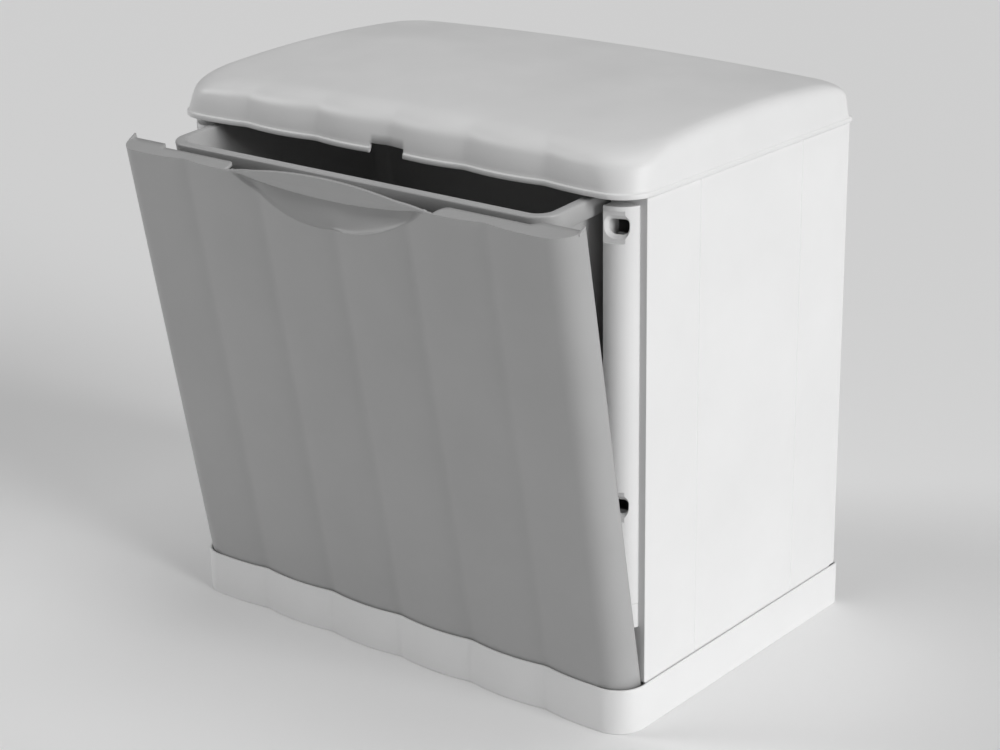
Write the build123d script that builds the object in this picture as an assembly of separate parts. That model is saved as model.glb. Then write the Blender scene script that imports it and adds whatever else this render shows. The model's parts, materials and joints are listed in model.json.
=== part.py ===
from build123d import *
from math import acos, asin, atan2, cos, degrees, hypot, radians, sin, sqrt, tan
import os

# A tilt-front household bin. The frame while modelling: X across, seen from the front, Y from the
# front plane of the side panels to the back, Z up from the floor. Millimetres.

# Cabinet
CABINET_WIDTH = 490.0       # over the outer faces of the side panels
CABINET_DEPTH = 296.0       # side panels, front plane to rear edge
PANEL_TOP = 454.5           # top edge of the side panels, where the lid sits
LID_RISE = 45.5             # from the panels' top edge to the crown of the lid
PANEL_WALL = 2.5
FRONT_FLANGE = 34.5         # side panel's front return, across
REAR_FLANGE = 16.0          # side panel's rear return, across
GROOVE_PLACES = (0.243, 0.75)   # share of the depth where the side panels are scored
GROOVE_DEPTH = 0.9
PANEL_GAP = 0.8             # between the tray's edge and the side panels
TONGUE_OVERLAP = 6.0        # a panel's tongue rises this far behind its skin
BACK_STEP = 8.0             # the back panel widens this far above the tray

# Flutes down the front, shared by the base, the door and the lid
FLUTES = 6
FLUTE_MARGIN = 3.0          # from the outermost flute to the side panel's face
FLUTE_DEPTH = 3.7
VALLEY_RADIUS = 25.0

# Base tray
BASE_HEIGHT = 40.0
BASE_WALL = 2.4
BASE_FLOOR = 3.0
BASE_STEP = 2.0             # the tray is this much wider than the panels on each side
APRON_AHEAD = 4.3           # the apron's crest, ahead of the closed door's
BASE_REAR = 5.8             # the tray's rear face, behind the panels
BASE_CORNER = 27.5
BASE_REAR_CORNER = 6.0
RIB_HEIGHT = 8.0
RIB_WALL = 2.4
RIB_PLACES = (0.3, 0.5, 0.7)    # share of the depth where the cross ribs run

# Door
DOOR_FRONT = 25.0           # its crest ahead of the panels, when closed
DOOR_GAP = 0.8              # behind its side returns, when closed
DOOR_FOOT_GAP = 11.0        # between its lower edge and the tray's floor
DOOR_CORNER_EASE = 1.2      # its front corners turn this far short of its depth
DOOR_WALL = 2.5
DOOR_SIDE_GAP = 2.0         # the door is this much narrower than the panels on each side
DOOR_TOP_GAP = 4.0          # between the door's top flange and the lid's rim
HORN = 3.0                  # height of the tips at the rear top corners
HORN_LENGTH = 8.2
FLANGE_BACK = 3.0           # the top flange ends this far ahead of the panels
FLANGE_NARROW = 16.0        # depth of its narrow middle part
FLANGE_STEP = 42.0          # the wide part, in from the door's side
FLANGE_BREAK = 12.0         # the flange ends this far from the grip
STOP_GAP = 0.28             # between the tipped door and the apron's inner edge
HINGE_BACK = 14.0           # hinge axis, ahead of the panels' front plane
HINGE_DROP = 8.0            # hinge axis below the tray's edge
PIN_RADIUS = 4.0
PIN_CLEARANCE = 0.05
LUG_RADIUS = 8.0
LUG_WIDTH = 7.0
LUG_GAP = 4.0               # between a lug and its hinge block
HINGE_BLOCK_WIDTH = 13.0
HINGE_BLOCK_TUCK = 17.0     # how far the block reaches into the tray's rounded corner
HINGE_BLOCK_BACK = 8.0      # the block's rear face, behind the hinge axis
HINGE_BLOCK_DROP = 2.0      # its top, under the tray's edge
HINGE_TOE = (12.0, 4.0)     # length behind the hinge axis, and height, of the block's toe
PIN_HEAD_STEP = 2.0
PIN_END = 4.0               # a pin stops this far short of its block's outer side
GRIP_HALF = 106.0           # hand grip, from its middle to an end
GRIP_DROP = 36.0            # the lowest point of the grip's bowl under its ends
GRIP_RISE = 12.0            # the top of the grip's lip above its ends
GRIP_BOWL = 8.0             # depth of the bowl
GRIP_LEAN = 3.6             # how far the lip stands proud of the face
GRIP_SPAN = 0.94            # share of the grip that is hollowed
LEDGE_MARGIN = 32.0         # the bin's shelf, in from the bin's side
LEDGE_DEPTH = 60.0          # the shelf's rear edge, behind the panels' front plane
LEDGE_UPSTAND = 44.0        # the shelf's plate on the door, above the shelf
LEDGE_WEB = (14.0, 36.0)    # reach and height of the shelf's webs
LEDGE_HEM = 6.0
HANGER_HALF = 16.0
HANGER_PLATE = 22.0         # the hanger's plate on the door, below its arm
HANGER_UNDER_SKIRT = 8.0    # the hanger's arm, under the bin's skirt
HANGER_ROOM = 1.2           # round the hanger's hook inside the rim
WEB_WALL = 2.4

# Lid
RIM_STEP = 3.5              # the lid's rim stands this far outside the panels
RIM_HEIGHT = 4.5
RIM_DROP = 1.5              # the rim hangs this far below the panels' top edge
LID_BEHIND = 0.4            # crest of the rim behind the closed door's
LID_CORNER = 25.5
LID_REAR_CORNER = 3.5
TAPER_CORNERS = (6.0, 20.0)     # extra corner radius of the skirt, front and rear
SKIRT_RISES = (0.0, 21.5, 28.0)     # heights above the rim where the skirt's slope changes
SKIRT_TAPERS = (2.0, 2.8, 6.0)     # how far in the skirt stands at those heights
DECK_TAPER = 21.0           # and level with the crown
LID_WALL = 2.5
LID_CROWN_X = 5000.0        # radii of the domed top, across and front to back
LID_CROWN_Y = 1400.0
CROWN_BACK = 147.0          # the crown, behind the panels' front plane
NOTCH_WIDTH = 35.0
NOTCH_HEIGHT = 8.0
NOTCH_DEPTH = 16.6          # from the rim's crest

# Front posts
POST_SET = 30.0             # inner side, in from the panel's face
POST_BULGE_SET = 2.0        # the centre of its round front, out from its inner side
POST_RADIUS = 22.0
POST_FRONT = 16.5           # ahead of the panels
POST_FOOT = 90.0
POST_HEAD_GAP = 0.9         # under the closed door's flange
POST_WALL = 2.2
POST_HOLE_WIDTH = 16.5
POST_HOLE_HEIGHT = 12.5
POST_HOLE_RISE = 107.0      # lower hole, above the post's foot
POST_HOLE_DROP = 16.6       # upper hole, below the post's head
POST_PAD_HALF = 13.0        # the flat round a hole, up and down
POST_PAD_BACK = 4.0         # the flat's middle, behind the post's foremost line
POST_PAD_TURN = 18.7        # how far the flat faces outwards, in degrees
POST_PAD_WALL = 3.2
HOLE_CHAMFER = 3.2          # width of the hole's sloping mouth
HOLE_MOUTH_DEPTH = 2.2
POST_LINE_RISE = 21.0       # the moulded line, above the post's foot
POST_LINE = 0.5             # its width and depth
HOLE_CORNERS = (3.5, 6.0)   # corner radii of a hole, at its top and its bottom
PANEL_HOLE_EASE = 2.0       # the hole in the panel behind is this much larger all round

# Inner bin
BIN_SIDE_GAP = 5.0          # between the bin's rim and the front returns
BIN_SETBACK = -1.7          # front of the bin's rim, from the panels' front plane to the back
BIN_BACK_GAP = 35.0         # from the bin's rim to the back panel
BIN_WALL = 2.0
BIN_FLOOR = 2.5
BIN_FALL = 6.5              # how much the rim falls to the back, in degrees
BIN_UNDER_LID = 2.7         # front of the rim below the lid's rim
BIN_RIM_BAND = 9.0
BIN_RIM_SKIRT = 15.0
BIN_CORNER = 22.0
BIN_DRAFT = 1.8             # degrees
BIN_LIFT = 16.5             # bottom of the closed bin above the floor
BIN_BODY_CORNER = 18.0

# Small things
SEAT = 0.1                  # gap between pieces that lie on each other
FIT = 0.3                   # gap between pieces that move past each other

# Worked out from the above
half_width = CABINET_WIDTH / 2
pitch = (CABINET_WIDTH - 2 * FLUTE_MARGIN) / FLUTES
flute_sum = ((pitch / 2) ** 2 + FLUTE_DEPTH ** 2) / (2 * FLUTE_DEPTH)
crest_radius = flute_sum - VALLEY_RADIUS
flute_angle = asin(pitch / 2 / flute_sum)
rim_bottom = PANEL_TOP - RIM_DROP
door_top = rim_bottom - DOOR_TOP_GAP
door_half = half_width - DOOR_SIDE_GAP
door_bottom = BASE_FLOOR + DOOR_FOOT_GAP
door_split = BASE_HEIGHT + 1            # below this the door is narrower, inside the tray
narrow_flange = door_half - FLANGE_STEP
door_corner = DOOR_FRONT - DOOR_GAP - DOOR_CORNER_EASE
door_inner_valley = -DOOR_FRONT + FLUTE_DEPTH + DOOR_WALL
block_outer = half_width - BASE_CORNER + HINGE_BLOCK_TUCK
block_inner = block_outer - HINGE_BLOCK_WIDTH
lug_outer = block_inner - LUG_GAP
lug_inner = lug_outer - LUG_WIDTH
hinge_up = BASE_HEIGHT - HINGE_DROP
base_front = DOOR_FRONT + APRON_AHEAD
lid_front = DOOR_FRONT - LID_BEHIND
hinge = Axis((0, -HINGE_BACK, hinge_up), (1, 0, 0))
# The tipped door leans on the inner edge of the apron, which stands this far from the hinge.
stop_reach = base_front - BASE_WALL - HINGE_BACK
stop_distance = DOOR_FRONT - HINGE_BACK + STOP_GAP
stop_turn = acos(stop_distance / hypot(stop_reach, HINGE_DROP)) - atan2(HINGE_DROP, stop_reach)
open_angle = round(degrees(stop_turn), 1)
opening = half_width - FRONT_FLANGE     # half of the cabinet's front opening
bin_half = opening - BIN_SIDE_GAP
bin_rear = CABINET_DEPTH - 2 * PANEL_WALL - BIN_BACK_GAP
bin_front_z = rim_bottom - BIN_UNDER_LID
ledge_half = bin_half - LEDGE_MARGIN
post_inner = half_width - POST_SET
post_centre = (post_inner + POST_BULGE_SET, POST_RADIUS - POST_FRONT)
post_reach = post_centre[0] + sqrt(POST_RADIUS ** 2 - post_centre[1] ** 2)
post_hole_x = (post_inner + post_reach) / 2
post_head = door_top - DOOR_WALL - POST_HEAD_GAP
post_holes = (POST_FOOT + POST_HOLE_RISE, post_head - POST_HOLE_DROP)
tongue_outer = half_width + BASE_STEP - BASE_WALL - FIT
floor_centre_y = (CABINET_DEPTH + BASE_REAR - base_front) / 2


def block(x, y, z):
    """A box between three pairs of limits."""
    size = [abs(b - a) for a, b in (x, y, z)]
    middle = [(a + b) / 2 for a, b in (x, y, z)]
    return Pos(*middle) * Box(*size)


def rod(x, y, z, radius):
    """A round bar along X."""
    return Pos(sum(x) / 2, y, z) * Rot(0, 90, 0) * Cylinder(radius, abs(x[1] - x[0]))


def mirrored(shape):
    return mirror(shape, about=Plane.YZ)


def arc(centre, radius, start, end):
    """An arc about a centre, between two angles in degrees, as points for a plan outline."""
    points = []
    for angle in (start, (start + end) / 2, end):
        x = centre[0] + radius * cos(radians(angle))
        y = centre[1] + radius * sin(radians(angle))
        points.append((x, y))
    return ThreePointArc(*points)


def fluted_front(half, front, corner, inset):
    """The edges of a fluted front in plan, from the right side to the left, moved in by inset."""
    turn = degrees(flute_angle)
    crests = [(i - (FLUTES - 1) / 2) * pitch for i in range(FLUTES)][::-1]
    edges = []
    side = half - inset
    front_line = -front + inset
    corner_y = -front + corner
    edges.append(arc((half - corner, corner_y), corner - inset, 0, -90))
    edges.append(Line((half - corner, front_line), (crests[0], front_line)))
    for number, x in enumerate(crests):
        first = 0 if number == 0 else turn
        last = 0 if number == FLUTES - 1 else turn
        centre = (x, -front + crest_radius)
        edges.append(arc(centre, crest_radius - inset, -90 + first, -90 - last))
        if number < FLUTES - 1:
            valley = (x - pitch / 2, -front + FLUTE_DEPTH - VALLEY_RADIUS)
            edges.append(arc(valley, VALLEY_RADIUS + inset, 90 - turn, 90 + turn))
    edges.append(Line((crests[-1], front_line), (-half + corner, front_line)))
    edges.append(arc((-half + corner, corner_y), corner - inset, -90, -180))
    return edges, (side, corner_y)


def fluted_face(half, front, corner, rear, inset=0.0, rear_corner=0.0, rear_inset=None):
    """A plan outline with a fluted front, straight sides and a straight rear edge."""
    edges, (side, corner_y) = fluted_front(half, front, corner, inset)
    rear_inset = inset if rear_inset is None else rear_inset
    back = rear - rear_inset
    radius = max(rear_corner - inset, 0.0)
    if radius > 0:
        edges.append(Line((-side, corner_y), (-side, back - radius)))
        edges.append(arc((-side + radius, back - radius), radius, 180, 90))
        edges.append(Line((-side + radius, back), (side - radius, back)))
        edges.append(arc((side - radius, back - radius), radius, 90, 0))
        edges.append(Line((side, back - radius), (side, corner_y)))
    else:
        edges.append(Line((-side, corner_y), (-side, back)))
        edges.append(Line((-side, back), (side, back)))
        edges.append(Line((side, back), (side, corner_y)))
    return make_face(Wire(edges))


def prism(face, bottom, top):
    return Pos(0, 0, bottom) * extrude(face, amount=top - bottom)


def make_base_tray():
    """The plinth: a floor and an upright wall, with low ribs under the bin."""
    half = half_width + BASE_STEP
    rear = CABINET_DEPTH + BASE_REAR
    outer = fluted_face(half, base_front, BASE_CORNER, rear, 0, BASE_REAR_CORNER)
    inner = fluted_face(half, base_front, BASE_CORNER, rear, BASE_WALL, BASE_REAR_CORNER)
    tray = prism(outer, 0, BASE_HEIGHT) - prism(inner, BASE_FLOOR, BASE_HEIGHT + 1)
    ribs_y = [CABINET_DEPTH * share for share in RIB_PLACES]
    rib_z = (BASE_FLOOR, BASE_FLOOR + RIB_HEIGHT)
    half_rib = RIB_WALL / 2
    for y in ribs_y:
        tray += block((-opening, opening), (y - half_rib, y + half_rib), rib_z)
    for number in range(FLUTES - 1):
        x = (number - (FLUTES - 2) / 2) * pitch
        tray += block((x - half_rib, x + half_rib), (ribs_y[0], ribs_y[-1]), rib_z)
    return tray


def make_hinge_block():
    """The bearing that a hinge pin turns in, clipped into a front corner of the tray."""
    across = (block_inner, block_outer)
    rear = HINGE_BLOCK_BACK - HINGE_BACK
    toe_length, toe_height = HINGE_TOE
    body = block(across, (-base_front, rear), (BASE_FLOOR, BASE_HEIGHT - HINGE_BLOCK_DROP))
    toe = block(across, (rear, toe_length - HINGE_BACK), (BASE_FLOOR, BASE_FLOOR + toe_height))
    tray_inside = fluted_face(half_width + BASE_STEP, base_front, BASE_CORNER, CABINET_DEPTH,
                              BASE_WALL + SEAT)
    bore_end = block_outer - PIN_END + 1
    bore = rod((block_inner - 1, bore_end), -HINGE_BACK, hinge_up, PIN_RADIUS + PIN_CLEARANCE)
    return ((body + toe) & prism(tray_inside, 0, BASE_HEIGHT)) - bore


def make_hinge_pin():
    """The pin that the door swings on, held in the door's lug."""
    shaft = rod((lug_inner - PIN_HEAD_STEP, block_outer - PIN_END), -HINGE_BACK, hinge_up, PIN_RADIUS)
    head_x = (lug_inner - 2 * PIN_HEAD_STEP, lug_inner - SEAT)
    head = rod(head_x, -HINGE_BACK, hinge_up, PIN_RADIUS + PIN_HEAD_STEP)
    return shaft + head


def make_side_panel():
    """The right-hand wall: a skin with returns at the front and rear and a tongue in the tray."""
    bottom = BASE_HEIGHT + PANEL_GAP
    skin_inner = half_width - PANEL_WALL
    panel = block((skin_inner, half_width), (0, CABINET_DEPTH), (bottom, PANEL_TOP))
    panel += block((opening, half_width), (0, PANEL_WALL), (bottom, PANEL_TOP))
    rear = (CABINET_DEPTH - PANEL_WALL, CABINET_DEPTH)
    panel += block((half_width - REAR_FLANGE, half_width), rear, (bottom, PANEL_TOP))
    tongue = (tongue_outer - PANEL_WALL, tongue_outer)
    tongue_z = (BASE_FLOOR, bottom + TONGUE_OVERLAP)
    panel += block(tongue, (PANEL_WALL, CABINET_DEPTH - BASE_REAR_CORNER), tongue_z)
    panel += block((opening, tongue_outer), (PANEL_WALL, 2 * PANEL_WALL), tongue_z)
    hole_half = (POST_HOLE_WIDTH / 2 + PANEL_HOLE_EASE, POST_HOLE_HEIGHT / 2 + PANEL_HOLE_EASE)
    for z in post_holes:
        panel -= block((post_hole_x - hole_half[0], post_hole_x + hole_half[0]), (-1, PANEL_WALL + 1),
                       (z - hole_half[1], z + hole_half[1]))
    for share in GROOVE_PLACES:
        cutter = Pos(half_width, share * CABINET_DEPTH, (bottom + PANEL_TOP) / 2) * Rot(0, 0, 45) * Box(
            sqrt(2) * GROOVE_DEPTH, sqrt(2) * GROOVE_DEPTH, PANEL_TOP - bottom + 2)
        panel -= cutter
    return panel


def make_back_panel():
    """The rear wall, held behind the side panels' rear returns and standing in the tray."""
    side = half_width - PANEL_WALL - FIT
    front = CABINET_DEPTH - 2 * PANEL_WALL - FIT
    rear = front + PANEL_WALL
    foot = tongue_outer - PANEL_WALL - FIT
    step_z = BASE_HEIGHT + BACK_STEP
    panel = block((-side, side), (front, rear), (step_z, PANEL_TOP))
    panel += block((-foot, foot), (front, rear), (BASE_FLOOR, step_z))
    for number in range(FLUTES - 1):
        x = (number - (FLUTES - 2) / 2) * pitch
        panel -= Pos(x, rear, (BASE_HEIGHT + PANEL_TOP) / 2) * Rot(0, 0, 45) * Box(
            sqrt(2) * GROOVE_DEPTH, sqrt(2) * GROOVE_DEPTH, PANEL_TOP)
    return panel


def post_section(inset):
    """The plan of a front post: a flat inner side, a round front and an open back."""
    radius = POST_RADIUS - inset
    disc = Pos(*post_centre) * Circle(radius)
    limit = Pos(post_inner + inset + radius, -radius - 1) * Rectangle(2 * radius, 2 * radius + 2)
    return disc & limit


def post_hole_outline(extra):
    """A post's finger hole, or with extra the wider outline of its mouth."""
    top_corner, bottom_corner = HOLE_CORNERS
    outline = Rectangle(POST_HOLE_WIDTH + 2 * extra, POST_HOLE_HEIGHT + 2 * extra)
    outline = fillet(outline.vertices().sort_by(Axis.Y)[-2:], top_corner + extra)
    return fillet(outline.vertices().sort_by(Axis.Y)[:2], bottom_corner + extra)


def make_front_post():
    """The half-round strip on a side panel's front return, with two holes in flat pads."""
    post = prism(post_section(0), POST_FOOT, post_head)
    hollow = prism(post_section(POST_WALL), POST_FOOT + POST_WALL, post_head - POST_WALL)
    post -= hollow
    reach = 2 * POST_RADIUS
    for z in post_holes:
        pad_z = (z - POST_PAD_HALF - 1, z + POST_PAD_HALF + 1)
        facing = Pos(post_hole_x, POST_PAD_BACK - POST_FRONT, z) * Rot(0, 0, POST_PAD_TURN)
        post -= facing * block((-reach, reach), (-reach, 0), (-POST_PAD_HALF, POST_PAD_HALF))
        pad = facing * block((-reach, reach), (0, POST_PAD_WALL), (-POST_PAD_HALF - 1, POST_PAD_HALF + 1))
        post += pad & prism(post_section(0), *pad_z)
        forward = facing * Rot(90, 0, 0)
        post -= forward * Pos(0, 0, -POST_PAD_WALL - 1) * extrude(post_hole_outline(0), amount=reach)
        slope = HOLE_CHAMFER / HOLE_MOUTH_DEPTH
        post -= forward * loft([Pos(0, 0, -HOLE_MOUTH_DEPTH) * post_hole_outline(0),
                                Pos(0, 0, 1) * post_hole_outline(HOLE_CHAMFER + slope)])
    line_z = (POST_FOOT + POST_LINE_RISE, POST_FOOT + POST_LINE_RISE + POST_LINE)
    post -= prism(post_section(0), *line_z) - prism(post_section(POST_LINE), *line_z)
    return post


def dome(drop):
    """A block whose top is the lid's domed surface, lowered by drop."""
    crown = PANEL_TOP + LID_RISE - drop
    middle = CROWN_BACK
    reach = CABINET_DEPTH
    sag = LID_CROWN_Y - sqrt(LID_CROWN_Y ** 2 - reach ** 2)
    left, right = (middle - reach, crown - sag), (middle + reach, crown - sag)
    top = ThreePointArc(left, (middle, crown), right)
    floor = PANEL_TOP - RIM_DROP - 20
    sides = [Line(right, (middle + reach, floor)), Line((middle + reach, floor), (middle - reach, floor)),
             Line((middle - reach, floor), left)]
    profile = Plane.YZ * make_face(Wire([top] + sides))
    axis = Axis((0, 0, crown - LID_CROWN_X), (0, 1, 0))
    spread = degrees(1.2 * half_width / LID_CROWN_X)
    return revolve(profile.rotate(axis, -spread), axis, 2 * spread)


def lid_body(inset, drop):
    """The outer form of the lid, or with an inset and a drop the hollow inside it."""
    half = half_width + RIM_STEP
    rear = CABINET_DEPTH + RIM_STEP
    step_top = rim_bottom + RIM_HEIGHT - drop
    levels = [(step_top + rise, taper) for rise, taper in zip(SKIRT_RISES, SKIRT_TAPERS)]
    levels.append((PANEL_TOP + LID_RISE, DECK_TAPER))
    corner, rear_corner = LID_CORNER + TAPER_CORNERS[0], LID_REAR_CORNER + TAPER_CORNERS[1]
    faces = []
    for z, taper in levels:
        face = fluted_face(half, lid_front, corner, rear, inset + taper, rear_corner)
        faces.append(Pos(0, 0, z) * face)
    return loft(faces, ruled=True)


def make_lid():
    """The top: a rim that sits over the panels, a tapering skirt and a domed deck."""
    half = half_width + RIM_STEP
    rear = CABINET_DEPTH + RIM_STEP
    rim = prism(fluted_face(half, lid_front, LID_CORNER, rear, 0, LID_REAR_CORNER),
                rim_bottom, rim_bottom + RIM_HEIGHT)
    outer = rim + (lid_body(0, 0) & dome(0))
    rim_hollow = prism(fluted_face(half, lid_front, LID_CORNER, rear, LID_WALL, LID_REAR_CORNER),
                       rim_bottom - 1, PANEL_TOP)
    hollow = fluted_face(half, lid_front, LID_CORNER, rear, LID_WALL + SKIRT_TAPERS[0], LID_REAR_CORNER)
    hollow = prism(hollow, PANEL_TOP - 1, rim_bottom + RIM_HEIGHT - 0.5)
    inside = rim_hollow + hollow + (lid_body(LID_WALL, LID_WALL) & dome(LID_WALL))
    lid = outer - inside
    notch = block((-NOTCH_WIDTH / 2, NOTCH_WIDTH / 2), (-lid_front - 1, NOTCH_DEPTH - lid_front),
                  (rim_bottom - 1, rim_bottom + NOTCH_HEIGHT))
    return lid - notch


def lens(half, drop, rise, front, back):
    """A lens-shaped slab across the door, bounded by two arcs or lines through the grip's ends."""
    ends_z = door_top
    left, right = (-half, ends_z), (half, ends_z)
    lower = ThreePointArc(left, (0, ends_z - drop), right) if drop else Line(left, right)
    upper = ThreePointArc(right, (0, ends_z + rise), left) if rise else Line(right, left)
    face = Plane((0, front, 0), x_dir=(1, 0, 0), z_dir=(0, -1, 0)) * make_face(Wire([lower, upper]))
    return extrude(face, amount=front - back)


def grip_bowl():
    """The hollow of the hand grip: the same section at growing and falling size across the door."""
    sections = []
    stations = 9
    for number in range(stations):
        share = GRIP_SPAN * (2 * number / (stations - 1) - 1)
        scale = 1 - share ** 2
        face_y = -DOOR_FRONT - 3 * GRIP_LEAN
        low = (-DOOR_FRONT - 0.6, door_top - GRIP_DROP * scale)
        deep = (-DOOR_FRONT + FLUTE_DEPTH / 2 + GRIP_BOWL * scale, door_top - 0.42 * GRIP_DROP * scale)
        high = (-DOOR_FRONT - GRIP_LEAN * scale, door_top - 0.02 * GRIP_DROP * scale)
        curve = ThreePointArc(low, deep, high)
        outline = Wire([curve, Line(high, (face_y, high[1])), Line((face_y, high[1]), (face_y, low[1])),
                        Line((face_y, low[1]), low)])
        sections.append(Pos(share * GRIP_HALF, 0, 0) * (Plane.YZ * make_face(outline)))
    return loft(sections, ruled=True)


def make_door_panel():
    """The fluted front: shell, side returns, top flange, hand grip with a raised lip, hinge lugs."""
    shell = prism(fluted_face(door_half, DOOR_FRONT, door_corner, -DOOR_GAP), door_bottom, door_top)
    hollow = fluted_face(door_half, DOOR_FRONT, door_corner, -DOOR_GAP, DOOR_WALL, 0, -3)
    door = shell - prism(hollow, door_bottom - 1, door_top - DOOR_WALL)
    flange_z = (door_top - DOOR_WALL - 1, door_top + 1)
    grip_clear = GRIP_HALF + FLANGE_BREAK
    wide = block((-door_half, door_half), (-FLANGE_BACK, 0), flange_z)
    narrow = block((-narrow_flange, narrow_flange), (FLANGE_NARROW - DOOR_FRONT, 0), flange_z)
    gap = block((-grip_clear, grip_clear), (door_inner_valley, 0), flange_z)
    door = door - wide - narrow - gap
    side = door_half - DOOR_WALL
    horn_front = -DOOR_GAP - HORN_LENGTH
    for sign in (-1, 1):
        limits = (sign * side, sign * door_half)
        door += block(limits, (horn_front, -DOOR_GAP), (door_top - 2 * DOOR_WALL, door_top))
        horn = Plane.YZ * make_face(Polyline((horn_front, door_top), (-DOOR_GAP, door_top),
                                             (-DOOR_GAP, door_top + HORN), (horn_front, door_top)))
        door += Pos(min(limits), 0, 0) * extrude(horn, amount=DOOR_WALL, dir=(1, 0, 0))
        door -= block((sign * (lug_outer + 1), sign * (door_half + 1)), (-DOOR_FRONT - 1, 1),
                      (door_bottom - 1, door_split))
    back = -DOOR_FRONT + FLUTE_DEPTH + GRIP_BOWL + DOOR_WALL
    door += lens(GRIP_HALF, GRIP_DROP, 0, -DOOR_FRONT - GRIP_LEAN, back)
    door -= grip_bowl()
    lip_back = -lid_front - 3 * FIT
    door += lens(GRIP_HALF, 0, GRIP_RISE, -DOOR_FRONT - GRIP_LEAN, lip_back)
    for sign in (-1, 1):
        limits = (sign * lug_inner, sign * lug_outer)
        lug = rod(limits, -HINGE_BACK, hinge_up, LUG_RADIUS)
        lug += block(limits, (-DOOR_FRONT + DOOR_WALL - 1, -HINGE_BACK),
                     (hinge_up - LUG_RADIUS, hinge_up + LUG_RADIUS))
        lug -= rod((sign * (lug_inner - 1), sign * (lug_outer + 1)), -HINGE_BACK, hinge_up, PIN_RADIUS)
        door += lug
    return door


def make_bin_ledge():
    """The shelf that the bin stands on, fixed to the inside of the door."""
    front = door_inner_valley + SEAT
    top = BIN_LIFT - SEAT
    reach = (-ledge_half, ledge_half)
    shelf = block(reach, (front, LEDGE_DEPTH), (top - DOOR_WALL, top))
    shelf += block(reach, (front, front + DOOR_WALL), (top - DOOR_WALL, top + LEDGE_UPSTAND))
    web_reach, web_height = LEDGE_WEB
    web = Plane.YZ * make_face(Polyline((front, top), (front + web_reach, top), (front, top + web_height),
                                        (front, top)))
    for share in (-1, -0.5, 0, 0.5, 1):
        x = share * (ledge_half - WEB_WALL / 2) - WEB_WALL / 2
        shelf += Pos(x, 0, 0) * extrude(web, amount=WEB_WALL, dir=(1, 0, 0))
    shelf += block(reach, (LEDGE_DEPTH - DOOR_WALL, LEDGE_DEPTH), (top - LEDGE_HEM, top))
    return shelf


def make_bin_hanger():
    """A bracket near the top of the door, whose upturned end goes up inside the bin's front rim."""
    front = door_inner_valley + SEAT
    x = (2 * pitch - HANGER_HALF, 2 * pitch + HANGER_HALF)
    arm_z = bin_front_z - BIN_RIM_SKIRT - HANGER_UNDER_SKIRT
    hook_y = BIN_SETBACK + BIN_WALL + HANGER_ROOM
    web_foot = arm_z - HANGER_PLATE + 2 * WEB_WALL
    plate = block(x, (front, front + DOOR_WALL), (arm_z - HANGER_PLATE, arm_z + DOOR_WALL))
    arm = block(x, (front, hook_y + DOOR_WALL), (arm_z, arm_z + DOOR_WALL))
    hook = block(x, (hook_y, hook_y + DOOR_WALL), (arm_z, bin_front_z - BIN_WALL - HANGER_ROOM))
    web = Plane.YZ * make_face(Polyline((front, arm_z), (hook_y, arm_z), (front, web_foot), (front, arm_z)))
    web = Pos(2 * pitch - WEB_WALL / 2, 0, 0) * extrude(web, amount=WEB_WALL, dir=(1, 0, 0))
    return plate + arm + hook + web


def bin_ring(inset, bottom, top):
    """The bin's rim outline, moved in and standing upright."""
    depth = bin_rear - BIN_SETBACK - 2 * inset
    ring = RectangleRounded(2 * (bin_half - inset), depth, BIN_CORNER - inset)
    return Pos(0, (bin_rear + BIN_SETBACK) / 2, bottom) * extrude(ring, amount=top - bottom)


def rim_slab(under, over):
    """Everything between two planes that fall to the back with the bin's rim."""
    size = 3 * CABINET_DEPTH
    slab = Box(2 * CABINET_WIDTH, size, over - under, align=(Align.CENTER, Align.CENTER, Align.MIN))
    return Pos(0, BIN_SETBACK, bin_front_z) * Rot(-BIN_FALL, 0, 0) * Pos(0, 0, under) * slab


def bin_form(inset, bottom, top):
    """The bin's tapering body."""
    middle = (bin_rear + BIN_SETBACK) / 2
    depth = bin_rear - BIN_SETBACK
    faces = []
    for z in (bottom, top):
        inward = BIN_RIM_BAND + inset - BIN_WALL + (bin_front_z - z) * tan(radians(BIN_DRAFT))
        outline = RectangleRounded(2 * (bin_half - inward), depth - 2 * inward, BIN_BODY_CORNER)
        faces.append(Pos(0, middle, z) * outline)
    return loft(faces)


def make_inner_bin():
    """The bucket: a tapering body under a turned-over rim that falls to the back."""
    body = bin_form(0, BIN_LIFT, bin_front_z + 6) - bin_form(BIN_WALL, BIN_LIFT + BIN_FLOOR, bin_front_z + 7)
    height = (BIN_LIFT, bin_front_z + 10)
    skirt = (bin_ring(0, *height) - bin_ring(BIN_WALL, *height)) & rim_slab(-BIN_RIM_SKIRT, 0)
    band = (bin_ring(0, *height) - bin_ring(BIN_RIM_BAND, *height)) & rim_slab(-BIN_WALL, 0)
    body = body & rim_slab(-2 * bin_front_z, 0)
    return body + band + skirt


def opened(shape):
    """Tips a piece that the closed door carries forward to the door's stop."""
    return shape.rotate(hinge, open_angle)


def export(shape, name):
    shape = Pos(0, -floor_centre_y, 0) * shape
    shape.label = name
    export_step(shape, f"parts/{name}.step")


os.makedirs("parts", exist_ok=True)
export(make_base_tray(), "base_tray")
export(make_back_panel(), "back_panel")
export(make_lid(), "lid")
side_pieces = {"side_panel": make_side_panel(), "front_post": make_front_post(),
               "hinge_block": make_hinge_block()}
for piece_name, piece in side_pieces.items():
    export(piece, "right_" + piece_name)
    export(mirrored(piece), "left_" + piece_name)
export(opened(make_door_panel()), "door_panel")
export(opened(make_bin_ledge()), "bin_ledge")
export(opened(make_inner_bin()), "inner_bin")
for piece_name, piece in {"hinge_pin": make_hinge_pin(), "bin_hanger": make_bin_hanger()}.items():
    export(opened(piece), "right_" + piece_name)
    export(opened(mirrored(piece)), "left_" + piece_name)
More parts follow.
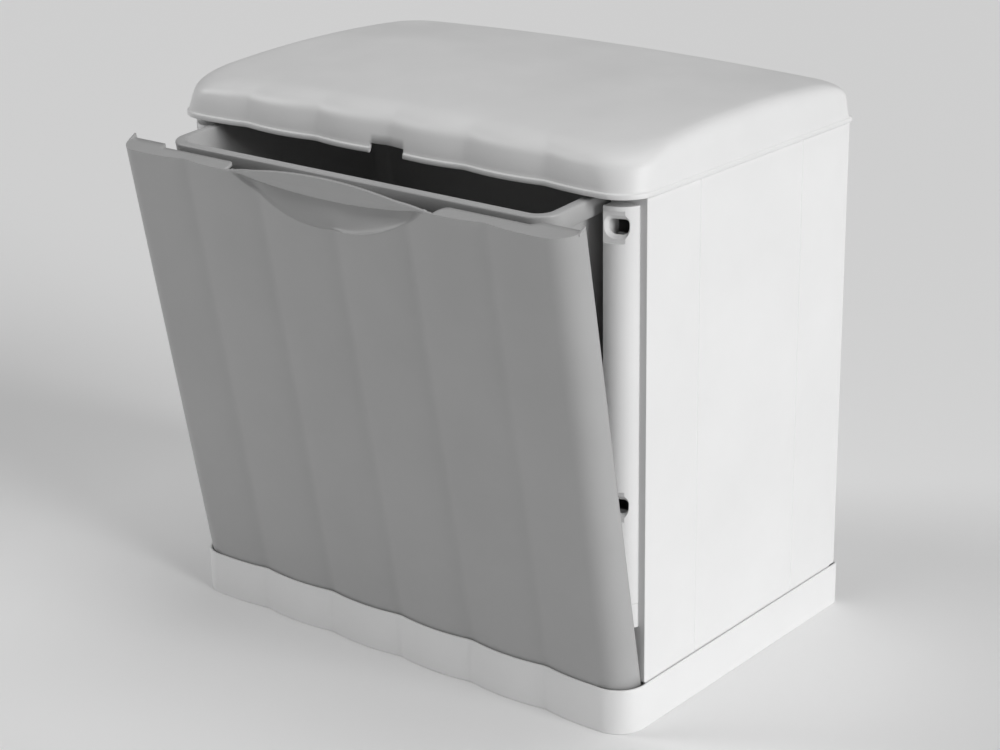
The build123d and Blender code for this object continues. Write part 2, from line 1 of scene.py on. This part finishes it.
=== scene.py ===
import json
from math import asin, cos, pi, radians, sin, sqrt, tan

import bmesh
import bpy
from mathutils import Matrix, Vector


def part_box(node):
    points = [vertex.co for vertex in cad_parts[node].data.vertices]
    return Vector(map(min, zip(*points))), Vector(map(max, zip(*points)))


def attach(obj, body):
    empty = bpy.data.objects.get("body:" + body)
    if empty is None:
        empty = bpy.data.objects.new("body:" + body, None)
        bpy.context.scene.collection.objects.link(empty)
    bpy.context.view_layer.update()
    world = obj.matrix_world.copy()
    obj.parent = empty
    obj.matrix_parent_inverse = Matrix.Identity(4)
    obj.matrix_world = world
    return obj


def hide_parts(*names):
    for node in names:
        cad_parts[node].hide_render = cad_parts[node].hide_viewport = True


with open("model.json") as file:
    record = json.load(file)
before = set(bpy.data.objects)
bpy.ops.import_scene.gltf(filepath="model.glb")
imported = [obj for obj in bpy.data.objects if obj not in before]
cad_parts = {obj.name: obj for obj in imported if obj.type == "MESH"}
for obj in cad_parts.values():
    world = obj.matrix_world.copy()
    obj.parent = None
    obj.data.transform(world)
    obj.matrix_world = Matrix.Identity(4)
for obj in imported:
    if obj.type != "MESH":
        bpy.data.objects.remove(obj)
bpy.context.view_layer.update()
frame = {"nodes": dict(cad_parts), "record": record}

# The base tray is one polypropylene moulding: a floor and a low wall, whose front is an apron of
# six shallow flutes. It is the foot of the bin, and every other piece stands or turns in it.
def add_node(tree, kind, settings=None, links=None, **fields):
    """Adds a shader node, with its socket values, its links and its own fields."""
    node = tree.nodes.new(kind)
    for name, value in fields.items():
        setattr(node, name, value)
    for socket, value in (settings or {}).items():
        node.inputs[socket].default_value = value
    for socket, source in (links or {}).items():
        tree.links.new(source, node.inputs[socket])
    return node


def linear(hex_colour):
    """An sRGB hex colour as the linear RGBA that a shader takes."""
    values = [int(hex_colour[i:i + 2], 16) / 255 for i in (0, 2, 4)]
    return [v / 12.92 if v <= 0.04045 else ((v + 0.055) / 1.055) ** 2.4 for v in values] + [1.0]


def moulded_polypropylene(name, colour, worn, roughness, grain):
    """Injection-moulded polypropylene: an even satin skin with the fine grain of the eroded tool,
    a faint waviness where it cooled, and slightly paler, drier patches where it has been handled.
    The grain, the patches and the waves are given by their widths in millimetres."""
    material = bpy.data.materials.new(name)
    material.use_nodes = True
    tree = material.node_tree
    tree.nodes.clear()
    place = add_node(tree, "ShaderNodeTexCoord").outputs["Object"]
    per_metre = 1000
    patch_width, wave_width = 111.1, 35.7
    cloud = add_node(tree, "ShaderNodeTexNoise",
                     {"Scale": per_metre / patch_width, "Detail": 4.0, "Roughness": 0.6},
                     {"Vector": place})
    tone = add_node(tree, "ShaderNodeValToRGB", links={"Fac": cloud.outputs["Fac"]})
    tone.color_ramp.elements[0].position, tone.color_ramp.elements[1].position = 0.32, 0.72
    tone.color_ramp.elements[0].color = linear(colour)
    tone.color_ramp.elements[1].color = linear(worn)
    satin = add_node(tree, "ShaderNodeMapRange", {"From Min": 0.3, "From Max": 0.7,
                     "To Min": roughness - 0.04, "To Max": roughness + 0.05},
                     {"Value": cloud.outputs["Fac"]})
    skin_grain = add_node(tree, "ShaderNodeTexNoise", {"Scale": per_metre / grain, "Detail": 1.0},
                          {"Vector": place})
    wave = add_node(tree, "ShaderNodeTexNoise", {"Scale": per_metre / wave_width, "Detail": 1.0},
                    {"Vector": place})
    wave_bump = add_node(tree, "ShaderNodeBump", {"Strength": 0.05, "Distance": 0.004},
                         {"Height": wave.outputs["Fac"]})
    bump = add_node(tree, "ShaderNodeBump", {"Strength": 0.10, "Distance": 0.0004},
                    {"Height": skin_grain.outputs["Fac"], "Normal": wave_bump.outputs["Normal"]})
    shader = add_node(tree, "ShaderNodeBsdfPrincipled", {"IOR": 1.49},
                      {"Base Color": tone.outputs["Color"], "Roughness": satin.outputs["Result"],
                       "Normal": bump.outputs["Normal"]})
    add_node(tree, "ShaderNodeOutputMaterial", links={"Surface": shader.outputs["BSDF"]})
    return material


def flute_depth(x, inset):
    """How far a fluted front lies behind its crests at x, for an outline moved in by inset."""
    crest, valley = crest_radius - inset, valley_radius + inset
    step = abs(x) % flute_pitch
    from_crest = abs(step - flute_pitch / 2)
    if abs(x) > (flute_count - 1) / 2 * flute_pitch:
        return 0.0
    if from_crest < crest * sin(flute_turn):
        return crest - sqrt(crest ** 2 - from_crest ** 2)
    from_valley = flute_pitch / 2 - from_crest
    return flute_deep - valley + sqrt(valley ** 2 - from_valley ** 2)


def fluted_ring(half, nose, rear, corner, rear_corner, flute=1.0, rear_flute=0.0, inset=0.0):
    """Points in plan, anticlockwise from the left end of the fluted front of a rounded rectangle."""
    points = []
    front_steps, turn_steps = 120, 16
    for number in range(2 * front_steps + 1):
        x = (number / front_steps - 1) * (half - corner)
        points.append((x, nose + flute * flute_depth(x, inset)))
    for corner_x, corner_y, radius, start in ((half - corner, nose + corner, corner, -90),
                                              (half - rear_corner, rear - rear_corner, rear_corner, 0),
                                              (rear_corner - half, rear - rear_corner, rear_corner, 90),
                                              (corner - half, nose + corner, corner, 180)):
        for number in range(1, turn_steps + 1):
            angle = radians(start + 90 * number / turn_steps)
            points.append((corner_x + radius * cos(angle), corner_y + radius * sin(angle)))
        if start < 180:
            after = {-90: (half, rear - rear_corner), 0: (rear_corner - half, rear),
                     90: (-half, nose + corner)}
            first, last = Vector(points[-1]), Vector(after[start])
            count = 160 if start == 0 else 60
            for number in range(1, count):
                x, y = first.lerp(last, number / count)
                points.append((x, y - (rear_flute * flute_depth(x, 0) if start == 0 else 0)))
    return points[:-1]


def skin(rings, closed=True):
    """A surface through rings of points: the first ring is extruded to each of the others."""
    mesh = bmesh.new()
    place = mesh.verts.layers.int.new("place")
    verts = [mesh.verts.new(point) for point in rings[0]]
    for number, vert in enumerate(verts):
        vert[place] = number
    pairs = list(zip(verts, verts[1:])) + ([(verts[-1], verts[0])] if closed else [])
    edges = [mesh.edges.new(pair) for pair in pairs]
    for ring in rings[1:]:
        made = bmesh.ops.extrude_edge_only(mesh, edges=edges)["geom"]
        edges = [item for item in made if isinstance(item, bmesh.types.BMEdge)]
        for vert in made:
            if isinstance(vert, bmesh.types.BMVert):
                vert.co = ring[vert[place]]
    return mesh, edges


def finished(mesh, name, material, body, nodes, smooth=35):
    """Turns a bmesh into a shaded object that rides on a body and stands for CAD nodes."""
    bmesh.ops.recalc_face_normals(mesh, faces=mesh.faces[:])
    data = bpy.data.meshes.new(name)
    mesh.to_mesh(data)
    mesh.free()
    data.polygons.foreach_set("use_smooth", [True] * len(data.polygons))
    data.set_sharp_from_angle(angle=radians(smooth))
    data.materials.append(material)
    piece = bpy.data.objects.new(name, data)
    bpy.context.scene.collection.objects.link(piece)
    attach(piece, body)
    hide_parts(*nodes)
    return piece


def soften(piece, width, segments=2, angle=40):
    """Rounds the sharp edges of a piece, as the tool's own radii do."""
    bevel = piece.modifiers.new("radius", "BEVEL")
    bevel.width = width
    bevel.segments = segments
    bevel.limit_method = "ANGLE"
    bevel.angle_limit = radians(angle)
    bevel.harden_normals = True


MM = 0.001
tray_low, tray_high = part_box("base_tray")
panel_low, panel_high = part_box("right_side_panel")
front_plane = panel_low[1]
half_width = panel_high[0]
flute_count, flute_margin = 6, 6 * MM
flute_pitch = (2 * half_width - flute_margin) / flute_count
flute_deep = 3.7 * MM
valley_radius = 25 * MM
flute_sum = ((flute_pitch / 2) ** 2 + flute_deep ** 2) / (2 * flute_deep)
crest_radius = flute_sum - valley_radius
flute_turn = asin(flute_pitch / 2 / flute_sum)

white_polypropylene = moulded_polypropylene("white_moulded_polypropylene", "ebebeb", "efefef", 0.42, 0.5)
tray_wall, tray_floor, tray_corner, tray_rear_corner = 2.4 * MM, 3 * MM, 27.5 * MM, 6 * MM
tray_round, foot_round = 0.8 * MM, 0.6 * MM


def tray_ring(inset, z):
    """A level ring of the tray, moved in from its outside."""
    plan = fluted_ring(tray_high[0] - inset, tray_low[1] + inset, tray_high[1] - inset,
                       tray_corner - inset, tray_rear_corner - inset, inset=inset)
    return [Vector((x, y, z)) for x, y in plan]


tray_top, round_middle = tray_high[2], 0.25 * MM
tray_rings = [tray_ring(foot_round, 0), tray_ring(0, foot_round), tray_ring(0, tray_top - tray_round),
              tray_ring(round_middle, tray_top - round_middle), tray_ring(tray_round, tray_top),
              tray_ring(tray_wall - tray_round, tray_top),
              tray_ring(tray_wall, tray_top - tray_round), tray_ring(tray_wall, tray_floor)]
mesh, edges = skin(tray_rings)
bmesh.ops.contextual_create(mesh, geom=edges)
first_ring = [edge for edge in mesh.edges if edge.is_boundary]
bmesh.ops.contextual_create(mesh, geom=first_ring)
finished(mesh, "base_tray_moulding", white_polypropylene, "cabinet", ["base_tray"])

# The side panels are white mouldings with a flat skin, returned inwards at the front and the
# rear, and two shallow V grooves down the outside. They stand in the tray and carry the lid.
panel_wall, panel_depth, rear_return, panel_radius = 2.5 * MM, 296 * MM, 16 * MM, 0.5 * MM
panel_gap, tongue_gap, tongue_wall, tongue_lap = 0.8 * MM, 2.8 * MM, 2.5 * MM, 6 * MM
groove_places, groove_depth, groove_width = (0.243, 0.75), 1.1 * MM, 2.2 * MM
hole_half_width, hole_half_height = 10 * MM, 8 * MM
lower_hole_rise, upper_hole_drop = 107 * MM, 16.6 * MM


def slab(mesh, low, high):
    """A box between two corners, added to a bmesh."""
    made = bmesh.ops.create_cube(mesh, size=1)["verts"]
    size = [b - a for a, b in zip(low, high)]
    bmesh.ops.scale(mesh, vec=size, verts=made)
    bmesh.ops.translate(mesh, vec=[(a + b) / 2 for a, b in zip(low, high)], verts=made)


def score(mesh, plane, normal, depth, width, face_normal):
    """Presses a V groove into the faces that look along face_normal, where a plane crosses them."""
    for offset in (-width / 2, 0, width / 2):
        point = Vector(plane) + Vector(normal) * offset
        geom = mesh.verts[:] + mesh.edges[:] + mesh.faces[:]
        bmesh.ops.bisect_plane(mesh, geom=geom, plane_co=point, plane_no=normal, dist=1e-6)
    outward = Vector(face_normal)
    reach = max(vert.co.dot(outward) for vert in mesh.verts)
    for vert in mesh.verts:
        on_plane = abs((vert.co - Vector(plane)).dot(Vector(normal))) < 1e-5
        if on_plane and vert.co.dot(outward) > reach - 1e-5:
            vert.co -= outward * depth


def pierce(mesh, low, high):
    """Cuts a square hole through the front return of a panel, and walls it."""
    for plane, normal in ((low, (1, 0, 0)), (high, (1, 0, 0)), (low, (0, 0, 1)), (high, (0, 0, 1))):
        geom = mesh.verts[:] + mesh.edges[:] + mesh.faces[:]
        bmesh.ops.bisect_plane(mesh, geom=geom, plane_co=plane, plane_no=normal, dist=1e-6)
    window = []
    for face in mesh.faces:
        middle = face.calc_center_median()
        if all(a < b < c for a, b, c in zip(low, middle, high)):
            window.append(face)
    rims = {edge for face in window for edge in face.edges}
    bmesh.ops.delete(mesh, geom=window, context="FACES")
    bmesh.ops.bridge_loops(mesh, edges=[edge for edge in rims if edge.is_valid and edge.is_boundary])


panel_bottom = tray_top + panel_gap
post_low, post_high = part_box("right_front_post")
post_holes = (post_low[2] + lower_hole_rise, post_high[2] - upper_hole_drop)
post_hole_x = (post_low[0] + post_high[0]) / 2
panel_rear = front_plane + panel_depth
inner_edge = panel_low[0]
rear_edge, inside_face = half_width - rear_return, half_width - panel_wall
for sign, side in ((1, "right"), (-1, "left")):
    profile = [(inner_edge, front_plane), (half_width, front_plane), (half_width, panel_rear),
               (rear_edge, panel_rear), (rear_edge, panel_rear - panel_wall),
               (inside_face, panel_rear - panel_wall),
               (inside_face, front_plane + panel_wall), (inner_edge, front_plane + panel_wall)]
    mesh, edges = skin([[Vector((x, y, z)) for x, y in profile] for z in (panel_bottom, panel_high[2])])
    bmesh.ops.contextual_create(mesh, geom=edges)
    bmesh.ops.contextual_create(mesh, geom=[edge for edge in mesh.edges if edge.is_boundary])
    bmesh.ops.recalc_face_normals(mesh, faces=mesh.faces[:])
    for hole_z in post_holes:
        pierce(mesh, (post_hole_x - hole_half_width, front_plane - MM, hole_z - hole_half_height),
               (post_hole_x + hole_half_width, front_plane + panel_wall + MM,
                hole_z + hole_half_height))
    for share in groove_places:
        groove_y = front_plane + share * (panel_rear - front_plane)
        score(mesh, (half_width, groove_y, 0), (0, 1, 0), groove_depth, groove_width, (1, 0, 0))
    slab(mesh, (tray_high[0] - tongue_gap - tongue_wall, front_plane + panel_wall, tray_floor),
         (tray_high[0] - tongue_gap, panel_rear - tray_rear_corner, panel_bottom + tongue_lap))
    if sign < 0:
        bmesh.ops.scale(mesh, vec=(-1, 1, 1), verts=mesh.verts[:])
    piece = finished(mesh, side + "_wall", white_polypropylene, "cabinet",
                     [side + "_side_panel"], smooth=25)
    soften(piece, panel_radius)

# The back panel is a flat moulding in the same white, scored like the flutes of the front, held
# between the rear returns of the side panels.
back_low, back_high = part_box("back_panel")
back_groove_depth, back_groove_width, back_radius = 0.9 * MM, 1.8 * MM, 0.4 * MM
mesh = bmesh.new()
slab(mesh, (back_low[0], back_low[1], tray_floor), back_high)
for number in range(1, flute_count):
    groove_x = (number - flute_count / 2) * flute_pitch
    score(mesh, (groove_x, back_high[1], 0), (1, 0, 0), back_groove_depth, back_groove_width, (0, 1, 0))
piece = finished(mesh, "rear_wall", white_polypropylene, "cabinet", ["back_panel"],
                 smooth=25)
soften(piece, back_radius)

# The front posts are half-round white strips fixed to the front returns, with a flat and a hole
# near the head and lower down. Their CAD shape stays, and they only take the moulded plastic.
for side in ("left", "right"):
    frame["nodes"][side + "_front_post"].data.materials.clear()
    frame["nodes"][side + "_front_post"].data.materials.append(white_polypropylene)

# The lid is a white polypropylene moulding: a small rim over the panels, a fluted skirt that
# tapers in and rolls over softly, and a domed top with a finger notch at the middle of its rim.
lid_polypropylene = moulded_polypropylene("lid_moulded_polypropylene", "e6e6e6", "ebebeb", 0.46, 0.6)
lid_low, lid_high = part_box("lid")
lid_middle = front_plane + 147 * MM
crown_across, crown_along, lid_wall = 5.0, 1.4, 2.5 * MM


def dome_height(x, y):
    """Height of the domed top over a point in plan, from its two radii in metres."""
    return lid_high[2] - x * x / (2 * crown_across) - (y - lid_middle) ** 2 / (2 * crown_along)


def lid_ring(inset, rise, corner, rear_corner, flute=1.0, front_step=0.0, rear_flute=0.0):
    """A level ring of the lid, moved in and at a height above the rim's bottom edge."""
    plan = fluted_ring(lid_high[0] - inset, lid_low[1] + inset + front_step, lid_high[1] - inset,
                       corner, rear_corner, flute, rear_flute)
    return [Vector((x, y, lid_low[2] + rise)) for x, y in plan]


def on_dome(ring, drop):
    """A ring moved up or down to lie a little under the domed top."""
    return [Vector((point.x, point.y, dome_height(point.x, point.y) - drop)) for point in ring]


def deck_ring(ring, share):
    """A ring of the domed top, a share of the way from the roll to the ridge in its middle."""
    points = []
    ridge_half = 110 * MM
    for point in ring:
        x = point.x + (max(-ridge_half, min(ridge_half, point.x)) - point.x) * share
        y = point.y + (lid_middle - point.y) * share
        points.append(Vector((x, y, dome_height(x, y))))
    return points


rim_corner, rim_rear, rim_round, rim_height = 31 * MM, 8 * MM, 0.5 * MM, 3.8 * MM
roll_steps, notch_half, notch_height = 12, 17.5 * MM, 8 * MM
# The rim, then the small hollow corner over it, then the foot of the skirt.
lid_rings = [lid_ring(rim_round, 0, rim_corner, rim_rear), lid_ring(0, rim_round, rim_corner, rim_rear),
             lid_ring(0, rim_height, rim_corner, rim_rear),
             lid_ring(0.3 * MM, 4.3 * MM, rim_corner, rim_rear),
             lid_ring(0.7 * MM, 4.5 * MM, rim_corner, rim_rear),
             lid_ring(1.0 * MM, 4.7 * MM, rim_corner, 9 * MM),
             lid_ring(1.3 * MM, 5.3 * MM, rim_corner, 10 * MM),
             lid_ring(1.6 * MM, 8 * MM, 32 * MM, 12 * MM),
             lid_ring(2.3 * MM, 16 * MM, 34 * MM, 12 * MM, front_step=0.8 * MM)]
# The skirt rolls over into the top on a curve that starts at its head and bends at the knee.
skirt_head = lid_ring(2.7 * MM, 22 * MM, 37 * MM, 13 * MM, 0.9, 2 * MM)
knee = on_dome(lid_ring(4.2 * MM, 0, 40 * MM, 15 * MM, 0.8, 4 * MM, 0.3), 0.8 * MM)
deck_edge = on_dome(lid_ring(17 * MM, 0, 50 * MM, 26 * MM, 0.2, 12 * MM, 0.15), 0)
for number in range(roll_steps + 1):
    share = number / roll_steps
    lid_rings.append([start.lerp(bend, share).lerp(bend.lerp(end, share), share)
                      for start, bend, end in zip(skirt_head, knee, deck_edge)])
lid_rings += [deck_ring(deck_edge, share) for share in (0.06, 0.14, 0.25, 0.38, 0.52, 0.66, 0.8, 0.92)]
mesh, edges = skin(lid_rings)
bmesh.ops.contextual_create(mesh, geom=edges)
notch = [face for face in mesh.faces if abs(face.calc_center_median().x) < notch_half
         and face.calc_center_median().y < front_plane
         and face.calc_center_median().z < lid_low[2] + notch_height]
bmesh.ops.delete(mesh, geom=notch, context="FACES")
lid = finished(mesh, "lid_moulding", lid_polypropylene, "lid", ["lid"], smooth=50)
wall = lid.modifiers.new("wall", "SOLIDIFY")
wall.thickness = lid_wall
wall.offset = -1

# The door is a mid-grey polypropylene moulding: a fluted front with short side returns, a top
# flange, and a hand grip whose bowl is pressed in under a raised lip. It is shaped shut, and then
# tipped open on its hinge.
door_polypropylene = moulded_polypropylene("grey_moulded_polypropylene", "acacac", "b1b1b1", 0.44, 0.6)
tilt = next(joint for joint in frame["record"]["behaviour"]["joints"] if joint["name"] == "door_tilt")
hinge_point = Vector(tilt["pos_m"])
open_angle = -radians(tilt["range_deg"][0])
door_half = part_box("door_panel")[1][0]
door_nose, door_rear = front_plane - 25 * MM, front_plane - 0.8 * MM
door_corner, door_wall = 23 * MM, 2.5 * MM
door_foot, door_split, door_top = 14 * MM, tray_top + 1 * MM, lid_low[2] - 4 * MM
tray_inside = 218.8 * MM
grip_half, grip_drop, grip_rise, grip_bowl, grip_lean = 106 * MM, 36 * MM, 12 * MM, 9 * MM, 2.6 * MM


def door_outline():
    """The door's plan, from the rear of its left return round the front to that of the right."""
    turn = [(door_half - door_corner * (1 - cos(radians(a))),
             door_nose + door_corner * (1 - sin(radians(a)))) for a in range(84, -1, -6)]
    span = door_half - door_corner
    grip_room, coarse_steps = grip_half + 4 * MM, 52
    coarse = [grip_room + (span - grip_room) * n / coarse_steps for n in range(coarse_steps + 1)]
    # One point to each millimetre across the grip, and wider steps outside it.
    places = [-x for x in coarse[::-1]] + [n * MM for n in range(-109, 110)] + coarse
    front = [(x, door_nose + flute_depth(x, 0)) for x in places]
    left = [(-x, y) for x, y in turn[::-1]]
    return [(-door_half, door_rear)] + left + front + turn + [(door_half, door_rear)]


def bowl_profile(share):
    """Depth of the grip from its lower edge, 0, to the lip's top edge, 1, as a share of the bowl."""
    bowl_end, crease_end = 0.5, 0.58
    if share < bowl_end:
        return sqrt(share / bowl_end)
    if share < crease_end:
        return 0.5 + 0.5 * cos((share - bowl_end) / (crease_end - bowl_end) * pi)
    return 0.0


def door_point(x, y, level):
    """A point of the door's outer face when closed, at a height before the lip is drawn up."""
    reach = max(0.0, 1 - (x / grip_half) ** 2)
    rise_band, lean_start, lean_span = 30 * MM, 0.5, 0.3
    z = level + grip_rise * reach * max(0.0, (level - door_top + rise_band) / rise_band)
    low = door_top - grip_drop * reach
    high = door_top + grip_rise * reach
    if reach > 0 and z > low:
        share = (z - low) / (high - low)
        smooth_front = door_nose + 0.5 * flute_deep
        y += (smooth_front - y) * min(1.0, reach * 2.5) * min(1.0, share * 3)
        y += grip_bowl * sqrt(reach) * min(1.0, reach * 3) * bowl_profile(share)
        lean = min(1.0, 2 * reach) * max(0.0, min(1.0, (share - lean_start) / lean_span))
        y -= (grip_lean + 0.5 * flute_deep) * lean
    return Vector((x, y, z))


grip_band, plain_steps, grip_steps = 44 * MM, 20, 55
band_foot = door_top - grip_band
levels = [door_foot + (band_foot - door_foot) * n / plain_steps for n in range(plain_steps)]
levels += [band_foot + grip_band * n / grip_steps for n in range(grip_steps + 1)]
outline = door_outline()
mesh, top_edges = skin([[door_point(x, y, level) for x, y in outline] for level in levels],
                       closed=False)
flange_end, wide_from, wide_step, end_round = 112 * MM, 197 * MM, 6 * MM, 7 * MM
edge_width, narrow_width, panel_space = 4.5 * MM, 11 * MM, 3 * MM


def flange_rear(x):
    """Rear edge of the top flange in plan: wide at the corners, narrow inwards, with a round end."""
    wide = max(0.0, min(1.0, (abs(x) - wide_from) / wide_step))
    end = max(0.0, 1 - (abs(x) - flange_end) / end_round)
    narrow = door_nose + edge_width + narrow_width * sqrt(max(0.0, 1 - end * end))
    return narrow + (front_plane - panel_space - narrow) * wide


flange_edges = [edge for edge in top_edges
                if min(abs(vert.co.x) for vert in edge.verts) >= flange_end
                and max(vert.co.y for vert in edge.verts) < front_plane - 3.2 * MM]
for share in (0.1, 0.3, 0.65, 1.0):
    made = bmesh.ops.extrude_edge_only(mesh, edges=flange_edges)["geom"]
    flange_edges = [item for item in made if isinstance(item, bmesh.types.BMEdge)
                    and all(vert in made for vert in item.verts)]
    for vert in made:
        if isinstance(vert, bmesh.types.BMVert):
            start = door_nose + flute_depth(vert.co.x, 0)
            if abs(vert.co.x) > door_half - door_corner:
                out = abs(vert.co.x) - door_half + door_corner
                start = door_nose + door_corner - sqrt(max(0.0, door_corner ** 2 - out ** 2))
            vert.co.y = start + max(0.0, flange_rear(vert.co.x) - start) * share
lower_sides = [face for face in mesh.faces if face.calc_center_median().z < door_split
               and abs(face.calc_center_median().x) > tray_inside]
bmesh.ops.delete(mesh, geom=lower_sides, context="FACES")
tip = Matrix.Rotation(open_angle, 3, "X")
bmesh.ops.rotate(mesh, verts=mesh.verts[:], cent=hinge_point, matrix=tip)
# A small tip stands at each rear corner of the flange, higher at the rear.
horn_outer, horn_inner, horn_length = 0.3 * MM, 2.2 * MM, 8.2 * MM
horn_sink, horn_rear, horn_front = 2 * MM, 5 * MM, 1.8 * MM
for sign in (-1, 1):
    horn = bmesh.ops.create_cube(mesh, size=1)["verts"]
    for vert in horn:
        rear = vert.co.y > 0
        top = vert.co.z > 0
        vert.co.x = sign * (door_half - (horn_outer if vert.co.x * sign > 0 else horn_inner))
        vert.co.y = door_rear if rear else door_rear - horn_length
        vert.co.z = door_top - horn_sink + ((horn_rear if rear else horn_front) if top else 0)
    bmesh.ops.rotate(mesh, verts=horn, cent=hinge_point, matrix=tip)
door = finished(mesh, "door_moulding", door_polypropylene, "door", ["door_panel"],
                smooth=50)
wall = door.modifiers.new("wall", "SOLIDIFY")
wall.thickness = door_wall
wall.offset = -1
wall.use_even_offset = False

# The inner bin is a bucket in the same grey, turned over at the rim into a flat band and a short
# skirt, and it slopes down to the back, so that it clears the lid as it swings with the door.
bin_polypropylene = moulded_polypropylene("bucket_moulded_polypropylene", "b1b1b1", "b7b7b7", 0.40, 0.6)
bin_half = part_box("inner_bin")[1][0]
bin_front, bin_back = front_plane - 1.7 * MM, front_plane + 256 * MM
bin_foot, bin_rim_z = 16.5 * MM, lid_low[2] - 2.7 * MM
bin_fall, bin_draft = radians(6.5), radians(1.8)


def bin_ring(inset, corner, rise=None, z=None):
    """A ring of the bucket: at a height from its sloping rim, or level at a height from the floor."""
    plan, turn_steps = [], 12
    for sx, sy, start in ((1, -1, -90), (1, 1, 0), (-1, 1, 90), (-1, -1, 180)):
        corner_x = sx * (bin_half - inset - corner)
        corner_y = bin_front + inset + corner if sy < 0 else bin_back - inset - corner
        for number in range(turn_steps + 1):
            angle = radians(start + 90 / turn_steps * number)
            plan.append((corner_x + corner * cos(angle), corner_y + corner * sin(angle)))
    ring = []
    for x, y in plan:
        rim = bin_rim_z - (y - bin_front) * tan(bin_fall)
        ring.append(Vector((x, y, z if rise is None else rim + rise)))
    return ring


band, bin_wall, rim_skirt, bin_corner = 9 * MM, 2 * MM, 15 * MM, 22 * MM


def rim_ring(inset, rise):
    """A ring of the bucket's rim, whose corners all turn about the same centres."""
    return bin_ring(inset, bin_corner - inset, rise=rise)


foot_inset = band - bin_wall + (bin_rim_z - bin_foot) * tan(bin_draft)
# Up the outside from the foot, out and down the skirt, over the rim and down the inside.
bin_rings = [bin_ring(foot_inset + 8 * MM, 10 * MM, z=bin_foot),
             bin_ring(foot_inset + 2 * MM, 16 * MM, z=bin_foot),
             bin_ring(foot_inset, 18 * MM, z=bin_foot + 3 * MM),
             bin_ring(band - bin_wall, 18 * MM, rise=-bin_wall), rim_ring(bin_wall, -bin_wall),
             rim_ring(bin_wall, 0.3 * MM - rim_skirt), rim_ring(1.6 * MM, -rim_skirt),
             rim_ring(0.4 * MM, -rim_skirt), rim_ring(0, 0.4 * MM - rim_skirt),
             rim_ring(0, -1.5 * MM), rim_ring(0.3 * MM, -0.6 * MM), rim_ring(0.9 * MM, -0.1 * MM),
             rim_ring(1.6 * MM, 0), bin_ring(band - 1.2 * MM, 14 * MM, rise=0),
             bin_ring(band - 0.3 * MM, 13.4 * MM, rise=-0.3 * MM), rim_ring(band, -1.2 * MM),
             bin_ring(foot_inset + bin_wall, 16 * MM, z=bin_foot + 10 * MM),
             bin_ring(foot_inset + bin_wall + 2.5 * MM, 14 * MM, z=bin_foot + 4 * MM),
             bin_ring(foot_inset + bin_wall + 9 * MM, 8 * MM, z=bin_foot + 2.5 * MM)]
mesh, edges = skin(bin_rings)
bmesh.ops.contextual_create(mesh, geom=edges)
bmesh.ops.contextual_create(mesh, geom=[edge for edge in mesh.edges if edge.is_boundary])
bmesh.ops.rotate(mesh, verts=mesh.verts[:], cent=hinge_point, matrix=tip)
finished(mesh, "bucket_moulding", bin_polypropylene, "bin", ["inner_bin"], smooth=50)

# The door's fittings are small mouldings: the bucket's shelf and hangers in the bucket's grey,
# and the hinge pins and their blocks in white acetal, which is harder and glossier. Their CAD
# shapes stay.
for node in ("bin_ledge", "left_bin_hanger", "right_bin_hanger"):
    frame["nodes"][node].data.materials.clear()
    frame["nodes"][node].data.materials.append(bin_polypropylene)
acetal = moulded_polypropylene("white_acetal", "f2f2ee", "f6f6f2", 0.3, 0.8)
for node in ("left_hinge_pin", "right_hinge_pin", "left_hinge_block", "right_hinge_block"):
    frame["nodes"][node].data.materials.clear()
    frame["nodes"][node].data.materials.append(acetal)

# The camera stands to the right of the bin and a little above it, on a long lens, and is rolled
# very slightly.
azimuth, elevation, roll = radians(39.23), radians(20.01), radians(-0.92)
stand = (1.23805, -1.53328, 0.93417)
back = Vector((sin(azimuth) * cos(elevation), -cos(azimuth) * cos(elevation), sin(elevation)))
across = back.cross(Vector((0, 0, -1))).normalized()
upward = back.cross(across)
right_hand = across * cos(roll) + upward * sin(roll)
top_hand = upward * cos(roll) - across * sin(roll)
turned = Matrix((right_hand, top_hand, back)).transposed().to_4x4()
camera_data = bpy.data.cameras.new("camera")
camera_data.lens = 83.98
camera_data.sensor_width = 36
camera = bpy.data.objects.new("camera", camera_data)
camera.matrix_world = Matrix.Translation(stand) @ turned
bpy.context.scene.collection.objects.link(camera)
bpy.context.scene.camera = camera

# The studio is a plain pale floor, a broad soft light from the right, a weaker one from the left
# and another from above, and a little even light all round.
bpy.ops.mesh.primitive_plane_add(size=40)
floor = bpy.context.object
floor.name = "studio_floor"
studio_white = bpy.data.materials.new("studio_white_paper")
studio_white.use_nodes = True
paper = studio_white.node_tree.nodes["Principled BSDF"].inputs
paper["Base Color"].default_value = linear("f2f2f2")
paper["Roughness"].default_value = 0.9
floor.data.materials.append(studio_white)


def soft_sun(name, towards, strength, softness):
    """A broad directional light that shines from a direction, like a large distant softbox."""
    data = bpy.data.lights.new(name, "SUN")
    data.energy = strength
    data.angle = radians(softness)
    lamp = bpy.data.objects.new(name, data)
    lamp.rotation_euler = Vector(towards).to_track_quat("Z", "Y").to_euler()
    bpy.context.scene.collection.objects.link(lamp)


soft_sun("softbox_right", (0.9, -0.05, 0.34), 2.0, 30)
soft_sun("softbox_left", (-0.8, -0.4, 0.46), 0.95, 20)
soft_sun("softbox_above", (0.1, 0.1, 1.0), 0.85, 40)
world = bpy.data.worlds.new("studio")
bpy.context.scene.world = world
world.use_nodes = True
world.node_tree.nodes["Background"].inputs["Color"].default_value = (1, 1, 1, 1)
world.node_tree.nodes["Background"].inputs["Strength"].default_value = 0.08
bpy.context.scene.view_settings.view_transform = "Standard"
